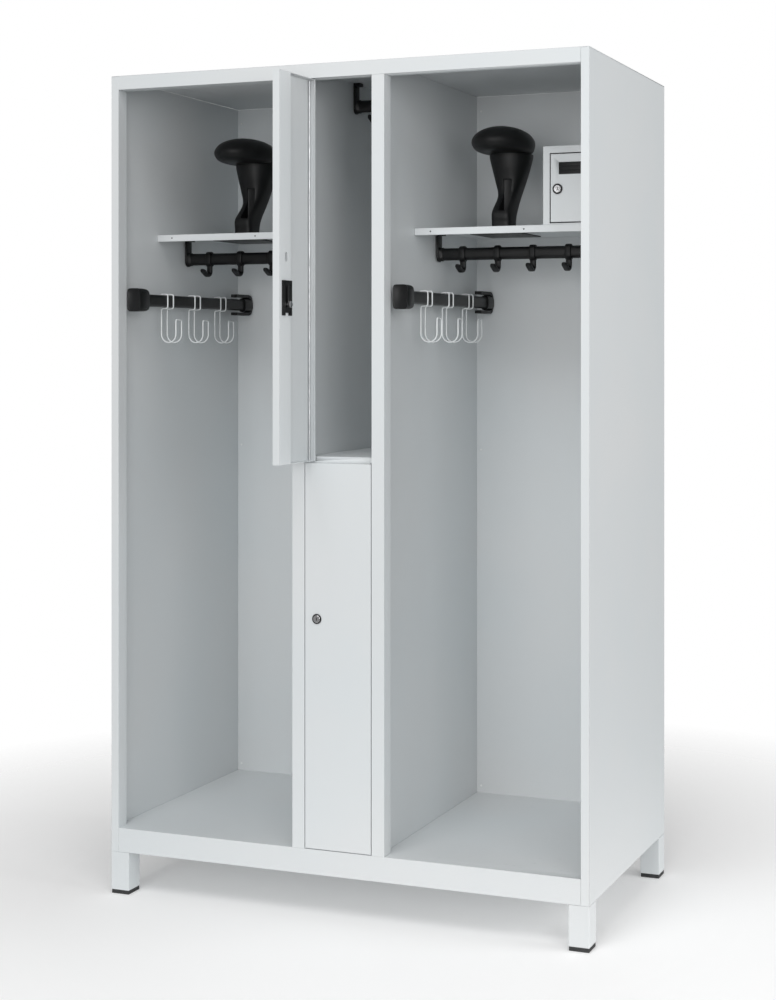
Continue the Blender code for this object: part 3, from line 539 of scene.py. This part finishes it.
STAND = (0.170, 0.350, 1.5838)
NECK_ROWS = (
    (0.002, 0.000, 0.049, 0.056, 5), (0.018, 0.000, 0.049, 0.056, 5),
    (0.044, 0.005, 0.049, 0.066, 5), (0.085, 0.040, 0.047, 0.066, 4),
    (0.120, 0.048, 0.068, 0.078, 3), (0.155, 0.051, 0.090, 0.098, 2.4),
    (0.178, 0.052, 0.103, 0.107, 2.2), (0.187, 0.052, 0.104, 0.108, 2.2))
HEAD_ROWS = (
    (0.00, 0.112, 0.182, 0.010), (0.04, 0.124, 0.192, 0.005), (0.12, 0.135, 0.201, 0.001),
    (0.30, 0.144, 0.207, -0.002), (0.50, 0.140, 0.202, -0.002), (0.72, 0.118, 0.174, -0.001),
    (0.88, 0.083, 0.126, 0.000), (0.97, 0.044, 0.070, 0.000), (1.00, 0.006, 0.010, 0.000))
HEAD_TOP = 0.2495
RECESS = ((-0.005, -0.060, 0.046), (0.017, 0.012, 0.126))
STAND_FOOT = (0.092, 0.110, 0.003)
COLLAR_RINGS = ((0.0025, 0.004), (0.004, 0.003), (0.0048, 0.001), (0.005, 0.0))


def helmet_stand(side, bay):
    """A leaning moulded neck with its side recess, on a foot plate, under a long padded head."""
    x, y, base = STAND[0] + bay, STAND[1], STAND[2]
    middle = at(x, y, base)
    rings = [oval((middle.x, middle.y + lean), wide, deep, base + up, square)
             for up, lean, wide, deep, square in between(NECK_ROWS, 8)]
    neck = skin(side + "_stand_neck_moulding", rings, 60)
    recess = soft_box("recess", middle + Vector(RECESS[0]), middle + Vector(RECESS[1]), 0.003)
    neck = eased(cut(neck, recess), 0.0008, 45)
    half_wide, half_deep, thick = STAND_FOOT[0] / 2, STAND_FOOT[1] / 2, STAND_FOOT[2]
    foot = soft_box("foot", middle - Vector((half_wide, half_deep, 0)),
                    middle + Vector((half_wide, half_deep, thick)), 0.0012)
    collar = skin("collar", [oval((middle.x, middle.y), 0.051 + spare, 0.058 + spare, base + up, 5)
                             for up, spare in COLLAR_RINGS], 60)
    neck = joined(side + "_stand_neck_moulding", [neck, foot, collar])
    place_piece(neck, "locker", BLACK, [side + "_stand_neck"])
    under = base + NECK_ROWS[-1][0] + CLEAR
    tall = base + HEAD_TOP - under
    domes = [oval((middle.x, middle.y + lean), wide, deep, under + tall * share, 2.0, 96)
             for share, wide, deep, lean in between(HEAD_ROWS, 6)]
    head = skin(side + "_stand_head_moulding", domes, 65)
    place_piece(head, "locker", PAD, [side + "_stand_head"])


# ---------------------------------------------------------------- hooks

BAR = (0.015, 0.030)
HOOK_BAND = 0.004
RUN = 0.0006
HOOK_DROP, HOOK_BEND, HOOK_REACH, HOOK_RISE, HOOK_ARM = 0.025, 0.011, 0.040, 0.0145, 0.006
HOOK_WIDE = 0.0145
HOOK_STOUT = 0.0084


def flat_ring(point, normal, thick, wide, sides=20, squareness=3.5):
    """A rounded bar section across a path that lies in a plane of constant x."""
    ring = []
    power = 2 / squareness
    for i in range(sides):
        angle = 2 * math.pi * i / sides
        c, s = math.cos(angle), math.sin(angle)
        out = thick / 2 * math.copysign(abs(c) ** power, c)
        along = wide / 2 * math.copysign(abs(s) ** power, s)
        ring.append(Vector((point[0] + along, point[1] + normal[0] * out, point[2] + normal[1] * out)))
    return ring


def swept_flat(name, x, path, thicks, wides, closed=False):
    """A rounded bar bent along a path of (y, z) points."""
    rings = []
    count = len(path)
    for i, (y, z) in enumerate(path):
        before = path[i - 1] if closed or i else path[0]
        after = path[(i + 1) % count] if closed or i < count - 1 else path[-1]
        along = Vector((after[0] - before[0], after[1] - before[1])).normalized()
        rings.append(flat_ring((x, y, z), (along.y, -along.x), thicks[i], wides[i]))
    return skin(name, rings, 60, closed)


def coat_hook(node):
    """A moulded hook: a band round the oval bar and one stout arm with a rounded nose."""
    low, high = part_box(node)
    x = (low.x + high.x) / 2
    y = high.y - BAR[0] / 2 - RUN - HOOK_BAND
    z = high.z - BAR[1] / 2 - RUN - HOOK_BAND
    band_path = stadium((y, z), BAR[0] + 2 * RUN + HOOK_BAND, BAR[1] + 2 * RUN + HOOK_BAND, 16)
    many = len(band_path)
    band = swept_flat("band", x, band_path, [HOOK_BAND] * many, [HOOK_WIDE] * many, True)
    under = z - BAR[1] / 2 - RUN - HOOK_BAND / 2
    bottom = under - HOOK_DROP + (HOOK_STOUT - HOOK_ARM) / 2
    path = [(y, under + 0.001), (y, under - 0.005), (y, bottom + HOOK_BEND)]
    for i in range(1, 17):
        angle = math.radians(-115 * i / 16)
        path.append((y - HOOK_BEND + HOOK_BEND * math.cos(angle),
                     bottom + HOOK_BEND + HOOK_BEND * math.sin(angle)))
    start, nose = path[-1], (y - HOOK_REACH, bottom + HOOK_RISE)
    for i in range(1, 13):
        share = i / 12
        path.append((start[0] + (nose[0] - start[0]) * share, start[1] + (nose[1] - start[1]) * share))
    thicks, wides = [], []
    for i in range(len(path)):
        left = (len(path) - 1 - i) / 5
        nose_share = math.sqrt(max(0.03, 1 - (1 - min(1, left)) ** 2))
        thicks.append(HOOK_STOUT * nose_share)
        wides.append(HOOK_WIDE * nose_share)
    arm = swept_flat("arm", x, path, thicks, wides)
    rib = soft_box("rib", (x - 0.0015, y - 0.0015, under - 0.010),
                   (x + 0.0015, y + 0.0068, under + 0.002), 0.0008)
    hook = joined(node + "_moulding", [band, arm, rib])
    place_piece(hook, body_of(node), BLACK, [node])


WIRE_R, WIRE_SPREAD, WIRE_DROP, WIRE_MOUTH, WIRE_TIP = 0.0017, 0.026, 0.0845, 0.041, 0.056


def rounded_corners(points, radius, steps):
    """A closed path with its corners turned into short smooth bends."""
    made = []
    count = len(points)
    for i, point in enumerate(points):
        to_before = points[i - 1] - point
        to_after = points[(i + 1) % count] - point
        reach = min(radius, to_before.length * 0.48, to_after.length * 0.48)
        start = point + to_before.normalized() * reach
        end = point + to_after.normalized() * reach
        for j in range(steps + 1):
            t = j / steps
            made.append(start * (1 - t) ** 2 + point * 2 * t * (1 - t) + end * t ** 2)
    return made


def round_wire(name, path, radius, sides=14):
    """A round wire bent into one closed loop, its section carried along without twist."""
    count = len(path)
    rings = []
    side = None
    for i, point in enumerate(path):
        along = (path[(i + 1) % count] - path[i - 1]).normalized()
        if side is None:
            side = along.cross(Vector((0, 1, 0)) if abs(along.y) < 0.7 else Vector((1, 0, 0)))
        side = (side - along * side.dot(along)).normalized()
        over = along.cross(side)
        rings.append([point + radius * (side * math.cos(2 * math.pi * k / sides)
                                        + over * math.sin(2 * math.pi * k / sides)) for k in range(sides)])
    rings.append(rings[0])
    return skin(name, rings[:-1], 80, True)


def wire_hook(node):
    """Two parallel wires that wrap the side rail, drop along the wall and curl up to joined tips."""
    low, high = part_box(node)
    clear = WIRE_R + RUN
    x = low.x + WIRE_R + clear + BAR[0] / 2
    y = (low.y + high.y) / 2
    z = high.z - WIRE_R - clear - BAR[1] / 2
    near, wall = x + BAR[0] / 2 + clear, x - BAR[0] / 2 - clear
    over, under = z + BAR[1] / 2 + clear, z - BAR[1] / 2 - clear
    bottom = under - WIRE_DROP
    bend = WIRE_MOUTH / 2
    drop = wall + 0.002
    line = [(wall, over - 0.010), (wall, over), (near, over), (near, under), (drop, under - 0.001),
            (drop, bottom + bend)]
    for i in range(1, 21):
        angle = math.radians(180 + 9 * i)
        line.append((drop + bend + bend * math.cos(angle), bottom + bend + bend * math.sin(angle)))
    line.append((drop + WIRE_MOUTH, bottom + WIRE_TIP))
    half = WIRE_SPREAD / 2
    one = [Vector((px, y - half, pz)) for px, pz in line]
    two = [Vector((px, y + half, pz)) for px, pz in line]
    path = rounded_corners(one + two[::-1], 0.0052, 6)
    hook = round_wire(node + "_bent", path, WIRE_R)
    place_piece(hook, body_of(node), WIRE, [node])


# ---------------------------------------------------------------- side rail ends

GRIP_ROWS = (
    (0.0, 0.97), (0.03, 1.0), (0.35, 0.99), (0.62, 0.90),
    (0.80, 0.70), (0.92, 0.36), (0.985, 0.06), (1.0, 0.0))
GRIP_FACE = (0.0175, 0.0215)
GRIP_FACE_MIDDLE = 0.0195
GRIP_FACE_SUNK = 0.0035
GRIP_FACE_THICK = 0.0040
GRIP_FACE_RINGS = ((0.0, 0.0), (0.6, 0.0), (0.85, 0.0006), (1.0, 0.0018))


def block_section(centre, across, tall, y, squareness=6, sides=64):
    """An upright rectangle with rounded corners, across the run of a rail."""
    ring = []
    for i in range(sides):
        angle = 2 * math.pi * i / sides
        c, s = math.cos(angle), math.sin(angle)
        ring.append(Vector((centre[0] + across / 2 * math.copysign(abs(c) ** (2 / squareness), c), y,
                            centre[1] + tall / 2 * math.copysign(abs(s) ** (2 / squareness), s))))
    return ring


def rail_grip(side):
    """The blunt end piece of a side rail: a block that narrows to the rail, with a raised face."""
    node = side + "_rail_grip"
    low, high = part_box(node)
    x, z = (low.x + high.x) / 2, (low.z + high.z) / 2
    wide, tall = high.x - low.x, high.z - low.z
    slim, neck = BAR[0] + 2 * HOOK_BAND, BAR[1] + 2 * HOOK_BAND
    rings = []
    for share, full in between(GRIP_ROWS, 5):
        y = low.y + (high.y - low.y) * share
        rings.append(block_section((x, z), slim + (wide - slim) * full, neck + (tall - neck) * full, y))
    end = Vector((0, 0.0012, 0))
    rings.append([Vector((x, high.y, z)) + (p - Vector((x, high.y, z))) * 0.93 + end for p in rings[-1]])
    grip = eased(skin(node + "_shoulder", rings, 50), 0.0008, 50)
    grip = place_piece(grip, "locker", BLACK, [node])
    face = []
    for share, spare in GRIP_FACE_RINGS:
        ring = []
        out = x + wide / 2 - GRIP_FACE_SUNK + GRIP_FACE_THICK * share
        for i in range(64):
            angle = 2 * math.pi * i / 64
            c, s = math.cos(angle), math.sin(angle)
            along = GRIP_FACE[0] * math.copysign(abs(c) ** 0.6, c) - math.copysign(spare, c)
            up = GRIP_FACE[1] * math.copysign(abs(s) ** 0.6, s) - math.copysign(spare, s)
            ring.append(Vector((out, low.y + GRIP_FACE_MIDDLE + along, z + up)))
        face.append(ring)
    plate = skin(side + "_rail_grip_face", face, 50)
    place_piece(plate, "locker", SATIN_BLACK)


# ---------------------------------------------------------------- locks

LOCK_HEIGHT = {"upper": 1.3975, "lower": 0.6835}
LOCK_REACH = 0.127
LOCK_FACE = ((0.0, 0.0069), (0.0013, 0.0069), (0.0014, 0.0085), (0.0018, 0.0085), (0.0021, 0.0081))
NUT = ((0.0, 0.0085), (0.0034, 0.0085), (0.0039, 0.0078))
SHAFT = ((0.0, 0.0060), (0.0128, 0.0060), (0.0132, 0.0055))
BOLT_HALF, BOLT_BELOW, BOLT_ABOVE = 0.006, 0.007, 0.040
KEY_SLOT = (0.0011, 0.0036)  # half its width and half its height


def shaded_key_slot(name, x, front, back, z):
    """A thin upright black block across the face of a lock where the key goes: painted shade for the dark
    inside of the keyway.
    """
    across, up = KEY_SLOT
    return soft_box(name, (x - across, front, z - up), (x + across, back, z + up), 0.00012, 1)


def door_lock(which, side, turn):
    """The turning part of a door's lock: bright face, shaft and nut, black bolt, and a black block of painted
    shade for the key slot.
    """
    core = which + "_lock_core"
    low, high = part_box(which + "_hinge_rod")
    door = (Matrix.Translation(((low.x + high.x) / 2, (low.y + high.y) / 2, 0))
            @ Matrix.Rotation(math.radians(turn), 4, "Z"))
    x, z = side * LOCK_REACH, LOCK_HEIGHT[which]
    face = disc("face", (x, -0.0060, z), (0, -1, 0), LOCK_FACE)
    nut = disc("nut", (x, 0.0207, z), (0, 1, 0), NUT, 6)
    shaft = disc("shaft", (x, 0.0120, z), (0, 1, 0), SHAFT)
    bright = joined(core + "_bright", [face, nut, shaft])
    bolt = soft_box(which + "_lock_bolt", (x - BOLT_HALF, 0.0185, z - BOLT_BELOW),
                    (x + BOLT_HALF, 0.0205, z + BOLT_ABOVE), 0.0008)
    # The key slot is a black block on the lock face: painted shade for the dark keyway.
    slot = shaded_key_slot(which + "_shaded_key_slot", x, -0.00825, -0.0079, z)
    for piece in (bright, bolt, slot):
        piece.data.transform(door)
    place_piece(bright, body_of(core), CHROME, [core])
    place_piece(bolt, body_of(core), BLACK)
    place_piece(slot, body_of(core), BLACK)


def box_lock():
    """The small box's lock: black ring on the door, bright turning face, and a black block of painted shade
    for its key slot.
    """
    low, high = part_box("lock_box_door")
    x, y, z = low.x + 0.017, low.y, high.z - 0.080
    ring = disc("lock_box_lock_ring", (x, y - 0.0002, z), (0, -1, 0),
                ((0.0, 0.0119), (0.0020, 0.0119), (0.0025, 0.0114), (0.0026, 0.0090)))
    place_piece(ring, body_of("lock_box_door"), BLACK)
    face = disc("lock_box_lock_face", (x, y - 0.0021, z), (0, -1, 0),
                ((0.0, 0.0085), (0.0009, 0.0085), (0.0012, 0.0081)))
    place_piece(face, body_of("lock_box_lock"), CHROME)
    # The key slot is a black block on the lock face: painted shade for the dark keyway.
    slot = shaded_key_slot("lock_box_shaded_key_slot", x, y - 0.0035, y - 0.0031, z)
    place_piece(slot, body_of("lock_box_lock"), BLACK)


# ---------------------------------------------------------------- small repeated parts

def stud_group():
    """Small domed heads set on points: radius, rise, turn and finish come from the piece."""
    tree = bpy.data.node_groups.new("studs_on_points", "GeometryNodeTree")
    for label, kind, value in (("Geometry", "Geometry", None), ("Radius", "Float", 0.002),
                               ("Rise", "Float", 0.0006), ("Turn", "Rotation", None),
                               ("Finish", "Material", None), ("Seed", "Int", 7)):
        socket = tree.interface.new_socket(label, in_out="INPUT", socket_type="NodeSocket" + kind)
        if value is not None:
            socket.default_value = value
    tree.interface.new_socket("Geometry", in_out="OUTPUT", socket_type="NodeSocketGeometry")
    start, end = tree.nodes.new("NodeGroupInput"), tree.nodes.new("NodeGroupOutput")
    dome = tree.nodes.new("GeometryNodeMeshUVSphere")
    dome.inputs["Segments"].default_value = 20
    dome.inputs["Rings"].default_value = 10
    dome.inputs["Radius"].default_value = 1.0
    size = tree.nodes.new("ShaderNodeCombineXYZ")
    spin = tree.nodes.new("FunctionNodeRandomValue")
    spin.data_type = "FLOAT"
    spin.inputs[2].default_value = 0.94
    spin.inputs[3].default_value = 1.06
    scaled = tree.nodes.new("ShaderNodeMath")
    scaled.operation = "MULTIPLY"
    placed = tree.nodes.new("GeometryNodeInstanceOnPoints")
    real = tree.nodes.new("GeometryNodeRealizeInstances")
    finish = tree.nodes.new("GeometryNodeSetMaterial")
    smooth = tree.nodes.new("GeometryNodeSetShadeSmooth")
    link = tree.links.new
    link(start.outputs["Seed"], spin.inputs["Seed"])
    link(start.outputs["Radius"], scaled.inputs[0])
    link(spin.outputs[1], scaled.inputs[1])
    link(scaled.outputs[0], size.inputs["X"])
    link(scaled.outputs[0], size.inputs["Y"])
    link(start.outputs["Rise"], size.inputs["Z"])
    link(start.outputs["Geometry"], placed.inputs["Points"])
    link(dome.outputs["Mesh"], placed.inputs["Instance"])
    link(start.outputs["Turn"], placed.inputs["Rotation"])
    link(size.outputs["Vector"], placed.inputs["Scale"])
    link(placed.outputs["Instances"], real.inputs["Geometry"])
    link(real.outputs["Geometry"], smooth.inputs["Geometry"])
    link(smooth.outputs["Geometry"], finish.inputs["Geometry"])
    link(start.outputs["Finish"], finish.inputs["Material"])
    link(finish.outputs["Geometry"], end.inputs["Geometry"])
    return tree


STUDS = stud_group()


def studs(name, points, body, material, radius, rise, turn=(0, 0, 0)):
    """One piece of small domed heads that ride on one body."""
    mesh = bpy.data.meshes.new(name)
    mesh.from_pydata([tuple(point) for point in points], [], [])
    piece = linked(name, mesh)
    modifier = piece.modifiers.new("studs", "NODES")
    modifier.node_group = STUDS
    values = {"Radius": radius, "Rise": rise, "Turn": turn, "Finish": material, "Seed": 7}
    for item in STUDS.interface.items_tree:
        if item.in_out == "INPUT" and item.name in values:
            modifier[item.identifier] = values[item.name]
    plain(piece)
    return place_piece(piece, body, material)


BAY_STARTS = (0.0, 0.7)
POST_FACE = (0.5155, 0.0136)
POST_HOLES = (1.7018, 1.6771, 1.2964, 1.2755)
SHELF_EDGE = (0.2012, 1.5752)
RIVET_HEIGHTS = (1.911, 0.175, 1.04)
CLAW_SPREAD = 0.0205


def small_parts():
    quarter = math.radians(90)
    holes = [at(*POST_FACE, z) for z in POST_HOLES]
    studs("post_hole_plugs", holes, "locker", BLACK, 0.0021, 0.0008, (0, quarter, 0))
    edge = [at(bay + x, *SHELF_EDGE) for bay in BAY_STARTS for x in (0.042, 0.276)]
    studs("shelf_edge_plugs", edge, "locker", BLACK, 0.0021, 0.0010, (quarter, 0, 0))
    rivets = [at(bay + x, 0.5982, z) for bay in BAY_STARTS for x in (0.0125, 0.4875) for z in RIVET_HEIGHTS]
    # The pale rivet colour is painted highlight for the glint on the domed heads.
    studs("back_rivets", rivets, "locker", RIVET_PAINT_AND_HIGHLIGHT, 0.0028, 0.0012, (quarter, 0, 0))
    screws = []
    for bay in BAY_STARTS:
        for x in (0.0155, 0.4845):
            for lift in (-0.006, 0.006):
                screws.append(at(bay + x, 0.335 + lift, 1.5738))
    studs("hanger_screws", screws, "locker", ZINC, 0.0016, 0.0007)
    claws = [at(bay + 0.038, 0.5905, 1.417 + up) for bay in BAY_STARTS for up in (-CLAW_SPREAD, CLAW_SPREAD)]
    studs("claw_screws", claws, "locker", ZINC, 0.0030, 0.0014, (quarter, 0, 0))


BLANK = (0.1010, 0.0026)
BLANK_DOWN = 0.019
STRIP_TALL = 0.0092
STRIP_PITCH = 0.0094


def box_blank():
    """The black blank that fills the slot in the small box's door, with two shallow grooves."""
    low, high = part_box("lock_box_door")
    middle = (low.x + high.x) / 2
    half, thick = BLANK[0] / 2, BLANK[1]
    bottom = high.z - BLANK_DOWN - 3 * STRIP_PITCH - 0.0001
    y = low.y + CLEAR
    strips = []
    for i in range(3):
        start = bottom + STRIP_PITCH * i
        strips.append(soft_box("strip", (middle - half, y, start),
                               (middle + half, y + thick, start + STRIP_TALL), 0.0004))
    blank = joined("lock_box_blank", strips)
    place_piece(blank, body_of("lock_box_door"), BLACK)


sheet_metal()
moulded_parts()
metal_parts()
for stand_side, stand_bay in zip(("left", "right"), BAY_STARTS):
    helmet_stand(stand_side, stand_bay)
    rail_grip(stand_side)
for hook_node in [node for node in NODES if "coat_hook" in node]:
    coat_hook(hook_node)
for hook_node in [node for node in NODES if "wire_hook" in node]:
    wire_hook(hook_node)
door_lock("upper", 1, -91.5)
door_lock("lower", -1, 0)
box_lock()
small_parts()
box_blank()
for node, shown in NODES.items():
    if not shown.hide_render:
        shown.data.materials.clear()
        shown.data.materials.append(FINISH[SLOT_OF[node]])


# ---------------------------------------------------------------- studio

def pale_floor():
    """A round pale floor that fades out into the white room at its edge."""
    low = cad_box[0][2] - CLEAR
    corners = 96
    verts = []
    for i in range(corners):
        angle = 2 * math.pi * i / corners
        verts.append((FLOOR_REACH * math.cos(angle), FLOOR_REACH * math.sin(angle), low))
    mesh = bpy.data.meshes.new("studio_floor")
    mesh.from_pydata(verts, [], [tuple(range(corners))])
    ground = linked("studio_floor", mesh)
    pale, tree, shader, place = new_material("studio_white", 0.9)
    patches = noise(tree, place, 0.8, 1.0)
    tree.links.new(mixed(tree, patches, (0.92, 0.92, 0.92), (0.94, 0.94, 0.94)), shader.inputs["Base Color"])
    shader.inputs["Emission Color"].default_value = (1, 1, 1, 1)
    shader.inputs["Emission Strength"].default_value = 0.12
    distance = tree.nodes.new("ShaderNodeVectorMath")
    distance.operation = "LENGTH"
    tree.links.new(place, distance.inputs[0])
    fade = spread(tree, distance.outputs["Value"], FLOOR_REACH * 0.36, FLOOR_REACH * 0.97, 1.0, 0.0)
    tree.links.new(fade, shader.inputs["Alpha"])
    mesh.materials.append(pale)


def area(name, place, aim, size, power):
    light = bpy.data.lights.new(name, "AREA")
    light.shape = "RECTANGLE"
    light.size, light.size_y = size
    light.energy = power
    lamp = bpy.data.objects.new(name, light)
    bpy.context.scene.collection.objects.link(lamp)
    lamp.location = place
    lamp.rotation_euler = (Vector(aim) - Vector(place)).to_track_quat("-Z", "Y").to_euler()


def room_light(for_light, for_eye):
    """An even room light that shows as plain white behind everything."""
    world = bpy.data.worlds.new("studio_room")
    bpy.context.scene.world = world
    world.use_nodes = True
    tree = world.node_tree
    back = tree.nodes["Background"]
    path = tree.nodes.new("ShaderNodeLightPath")
    span = tree.nodes.new("ShaderNodeMapRange")
    span.inputs["To Min"].default_value = for_light
    span.inputs["To Max"].default_value = for_eye
    tree.links.new(path.outputs["Is Camera Ray"], span.inputs["Value"])
    tree.links.new(span.outputs["Result"], back.inputs["Strength"])
    back.inputs["Color"].default_value = (1, 1, 1, 1)


def camera():
    """The camera stands level, to the right of the locker, and looks a little to the left."""
    lens = bpy.data.cameras.new("camera")
    lens.sensor_fit = "VERTICAL"
    lens.sensor_height = 36.0
    lens.lens = 1.71027 * lens.sensor_height
    lens.shift_x = -0.14125
    lens.shift_y = -0.14961
    holder = bpy.data.objects.new("camera", lens)
    bpy.context.scene.collection.objects.link(holder)
    holder.location = CORNER.xy.to_3d() + Vector((2.33806, -3.49608, 1.29553))
    holder.rotation_euler = (math.radians(90), 0, math.radians(20.0448))
    bpy.context.scene.camera = holder
    bpy.context.scene.view_settings.view_transform = "Standard"


def studio():
    pale_floor()
    room_light(0.30, 1.0)
    area("front_soft_box", (0.5, -4.9, 1.6), (0, 0, 1.0), (3.0, 2.0), 74)
    area("right_front_soft_box", (3.6, -3.4, 2.2), (0, 0, 1.0), (2.2, 2.4), 60)
    area("side_soft_box", (5.0, 0.1, 1.8), (0.6, 0, 0.95), (2.4, 2.4), 88)
    area("overhead_soft_box", (0.3, -3.0, 4.8), (0, 0, 0.6), (3.2, 2.0), 78)
    camera()


studio()
